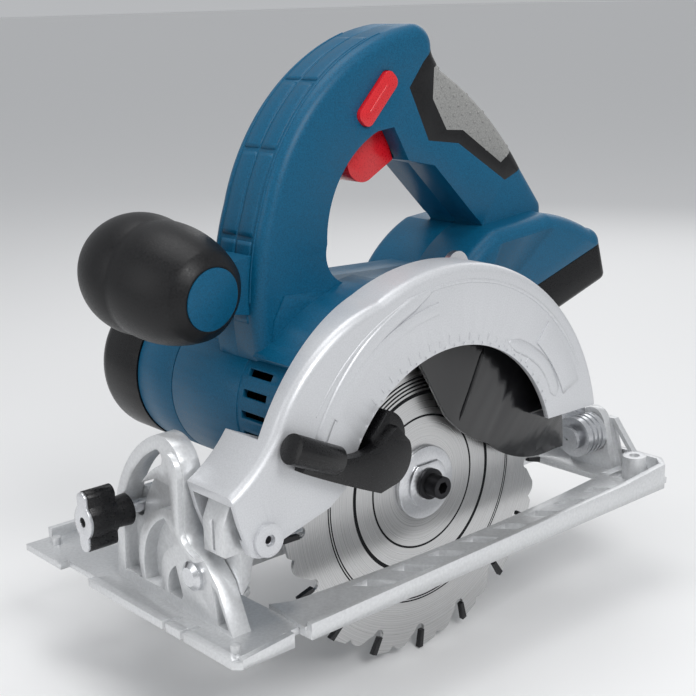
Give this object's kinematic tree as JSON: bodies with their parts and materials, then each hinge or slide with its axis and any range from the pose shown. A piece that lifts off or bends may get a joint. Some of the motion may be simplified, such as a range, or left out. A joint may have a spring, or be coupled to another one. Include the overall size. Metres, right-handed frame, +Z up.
{
  "type": "circular saw",
  "caption": "Battery circular saw with cast shoe, bevel quadrant, upper and swinging lower guards, gear-driven blade, closed rear handle and round front handle.",
  "frame": {"origin": "middle of the sole, the underside of the shoe", "axes": "+X forwards in the cutting direction, +Y towards the blade side, +Z up"},
  "size_m": [0.3022, 0.1955, 0.2851],
  "materials": {
    "cast_shoe": "fine cast",
    "cast_case": "cast",
    "steel": "satin",
    "black_steel": "blackened",
    "blade_steel": "brushed in circles",
    "carbide": "ground",
    "brass": "satin",
    "painted_guard": "silver, finely speckled",
    "black_guard": "glossy black",
    "blue_plastic": "fine speckled texture",
    "black_plastic": "satin",
    "red_plastic": "satin gloss",
    "black_rubber": "satin",
    "grey_rubber": "dimpled"
  },
  "bodies": {
    "shoe": {"base_plate": "cast_shoe", "bevel_pins": "steel"},
    "tilt_frame": {"tilt_bracket": "cast_shoe", "bevel_bolt": "steel", "depth_pin": "steel", "rear_bracket": "steel", "depth_guide": "steel"},
    "bevel_knob": {"wing_knob": "black_plastic", "knob_disc": "steel"},
    "saw": {"upper_guard": "painted_guard", "guard_screws": "steel", "gear_housing": "cast_case", "motor_housing": "blue_plastic", "fan_grille": "black_plastic", "motor_collar": "blue_plastic", "motor_cap": "black_plastic", "housing_left": "blue_plastic", "housing_right": "blue_plastic", "housing_screws": "steel", "grip_overmold": "black_rubber", "grip_pad": "grey_rubber", "switch_module": "black_plastic", "terminal_block": "black_plastic", "aux_handle": "black_rubber", "aux_cap": "blue_plastic", "aux_mount": "blue_plastic", "aux_bolt": "steel", "guard_spring": "steel", "spindle_bearings": "steel", "stator": "black_steel", "motor_bearings": "steel", "brush_holders": "brass", "clamp_bolt": "steel"},
    "swinging_guard": {"lower_guard": "black_guard", "guard_lever": "black_plastic"},
    "spindle_group": {"spindle": "steel", "inner_flange": "steel", "outer_flange": "steel", "blade_bolt": "black_steel", "blade": "blade_steel", "carbide_tips": "carbide"},
    "lay_shaft": {"lay_gear": "steel"},
    "rotor": {"armature": "black_steel", "cooling_fan": "black_plastic"},
    "clamp_lever": {"depth_lever": "black_plastic"},
    "trigger_body": {"trigger": "red_plastic"},
    "lock_off_body": {"lock_off_button": "red_plastic"},
    "spindle_lock": {"spindle_lock_button": "black_plastic"},
    "battery": {"battery_pack": "black_plastic"},
    "latch": {"battery_latch": "black_plastic"}
  },
  "joints": [
    {"name": "bevel", "type": "hinge", "parent": "shoe", "child": "tilt_frame", "pos_m": [0, 0.038, 0.022], "axis": [-1, 0, 0], "range_deg": [0, 45]},
    {"name": "depth", "type": "hinge", "parent": "tilt_frame", "child": "saw", "pos_m": [0.111, 0.041, 0.041], "axis": [0, 1, 0], "range_deg": [0, 28]},
    {"name": "knob_turn", "type": "hinge", "parent": "tilt_frame", "child": "bevel_knob", "pos_m": [0.13, -0.00955, 0.03745], "axis": [1, 0, 0], "range_deg": [0, 180]},
    {"name": "clamp_lever_turn", "type": "hinge", "parent": "saw", "child": "clamp_lever", "pos_m": [-0.05397, 0.025, 0.04388], "axis": [0, 1, 0], "range_deg": [0, 30]},
    {"name": "guard_swing", "type": "hinge", "parent": "saw", "child": "swinging_guard", "pos_m": [0.00475, 0.045, 0.0315], "axis": [0, -1, 0], "range_deg": [0, 155], "stiffness_Nm_per_rad": 0.12, "springref_deg": 183.35},
    {"name": "spindle_spin", "type": "hinge", "parent": "saw", "child": "spindle_group", "pos_m": [0.00475, 0.045, 0.0315], "axis": [0, 1, 0], "continuous": true},
    {"name": "lay_spin", "type": "hinge", "parent": "saw", "child": "lay_shaft", "pos_m": [0.01684, 0.025, 0.06435], "axis": [0, 1, 0], "continuous": true},
    {"name": "armature_spin", "type": "hinge", "parent": "saw", "child": "rotor", "pos_m": [0.039, -0.03, 0.0705], "axis": [0, 1, 0], "continuous": true},
    {"name": "trigger_pull", "type": "slide", "parent": "saw", "child": "trigger_body", "axis": [-0.7507, 0, 0.6607], "range_m": [0, 0.006], "stiffness_N_per_m": 500, "springref_m": -0.004},
    {"name": "lock_off_push", "type": "slide", "parent": "saw", "child": "lock_off_body", "axis": [0, -1, 0], "range_m": [0, 0.003], "stiffness_N_per_m": 400, "springref_m": -0.003},
    {"name": "spindle_lock_push", "type": "slide", "parent": "saw", "child": "spindle_lock", "axis": [1, 0, 0], "range_m": [0, 0.0025], "stiffness_N_per_m": 400, "springref_m": -0.003},
    {"name": "battery_slide", "type": "slide", "parent": "saw", "child": "battery", "axis": [-0.9608, 0, 0.2773], "range_m": [0, 0.11]},
    {"name": "latch_push", "type": "slide", "parent": "battery", "child": "latch", "axis": [0.9608, 0, -0.2773], "range_m": [0, 0.003], "stiffness_N_per_m": 400, "springref_m": -0.003}
  ],
  "couplings": [
    {"joint": "lay_spin", "follows": "spindle_spin", "ratio": -2.1818},
    {"joint": "armature_spin", "follows": "spindle_spin", "ratio": 4.987}
  ]
}
